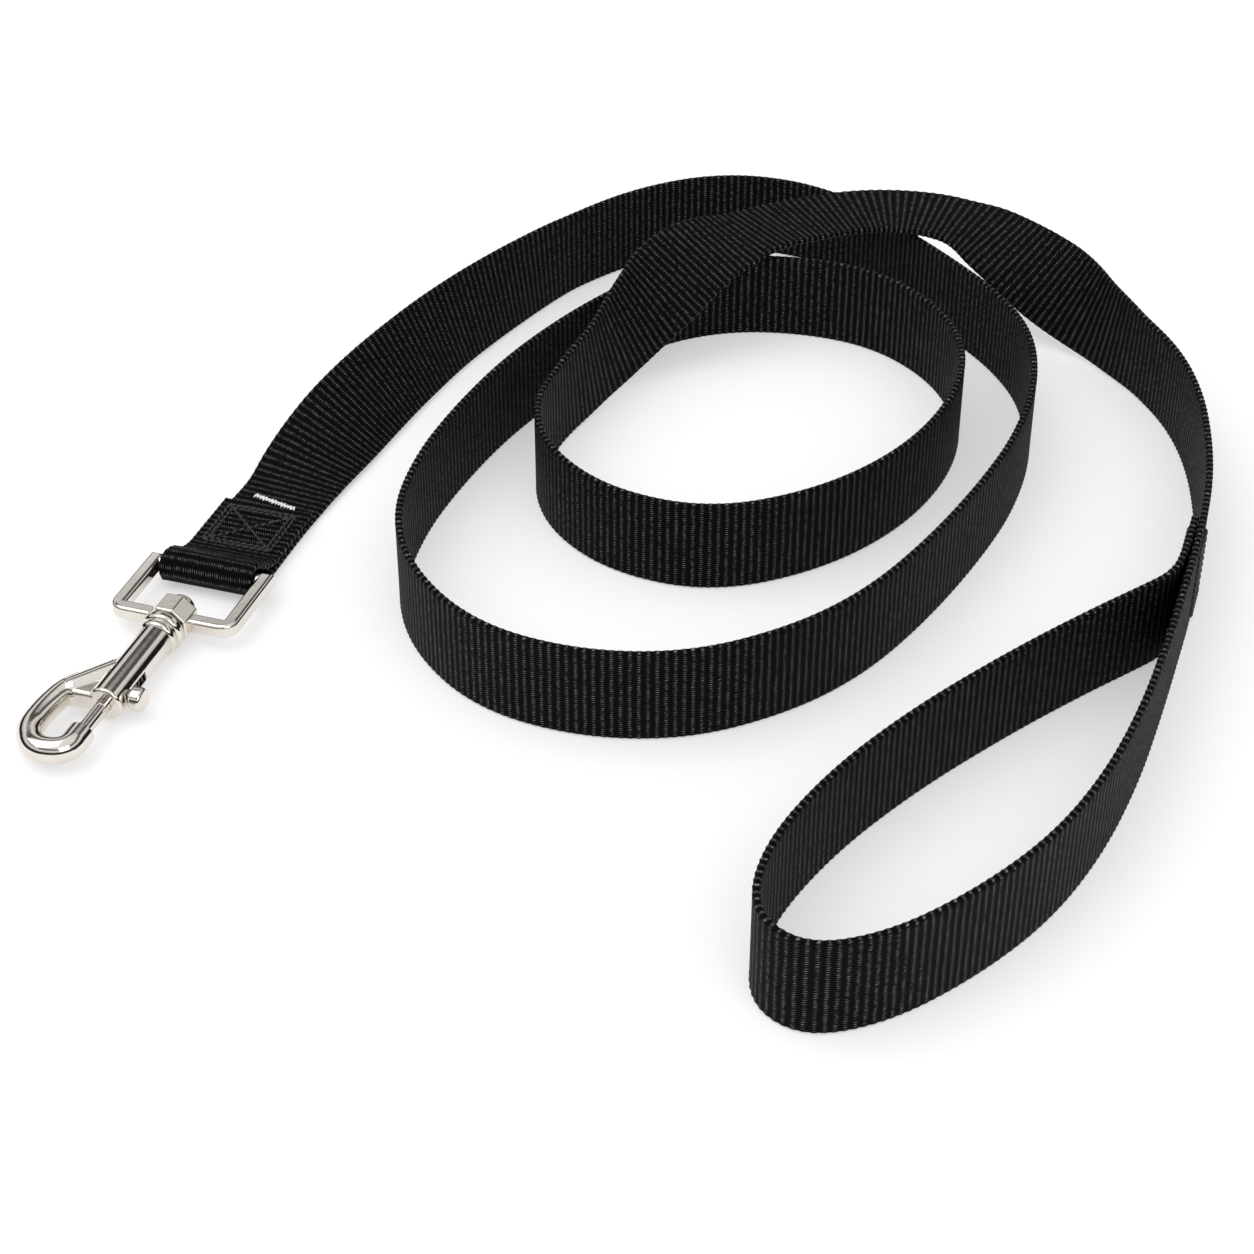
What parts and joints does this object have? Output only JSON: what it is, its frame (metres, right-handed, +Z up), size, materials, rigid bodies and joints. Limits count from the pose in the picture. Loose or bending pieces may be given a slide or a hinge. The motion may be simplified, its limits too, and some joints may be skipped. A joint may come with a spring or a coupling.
{
  "type": "training leash",
  "caption": "Flat webbing training leash lying coiled on its edge, with a stitched hand loop and a swivel bolt snap with a sprung bolt",
  "frame": {"origin": "On the floor, under the middle of the bounding box", "axes": "+X along the snap from its hook to the strap, which is the longest side of the coil; +Z up, the shortest"},
  "size_m": [0.3284, 0.2567, 0.0345],
  "materials": {
    "webbing": "black woven nylon webbing with fine cross ribs",
    "black_thread": "black bonded sewing thread",
    "white_thread": "white sewing thread",
    "nickel_plate": "bright nickel plate on die-cast metal",
    "spring_steel": "bare spring wire"
  },
  "bodies": {
    "lead": {"webbing_snap_fold": "webbing", "webbing_lead_run": "webbing", "webbing_coil": "webbing", "webbing_crossover": "webbing", "webbing_handle_run": "webbing", "webbing_handle_loop": "webbing", "snap_box_stitching": "black_thread", "handle_box_stitching": "black_thread", "white_bar_tack": "white_thread"},
    "eye": {"swivel_eye": "nickel_plate"},
    "hook": {"hook_body": "nickel_plate", "swivel_rivet": "nickel_plate", "bolt_spring": "spring_steel"},
    "bolt": {"bolt": "nickel_plate", "thumb_stud": "nickel_plate"}
  },
  "joints": [
    {"name": "eye_tilt", "type": "hinge", "parent": "lead", "child": "eye", "pos_m": [-0.059, 0.111, 0.0055], "axis": [0, 1, 0], "range_deg": [0, 75]},
    {"name": "hook_swivel", "type": "hinge", "parent": "eye", "child": "hook", "pos_m": [-0.0805, 0.111, 0.0055], "axis": [1, 0, 0], "continuous": true},
    {"name": "bolt_slide", "type": "slide", "parent": "hook", "child": "bolt", "axis": [1, 0, 0], "range_m": [0, 0.0075], "stiffness_N_per_m": 200, "deforming": ["bolt_spring"]}
  ]
}
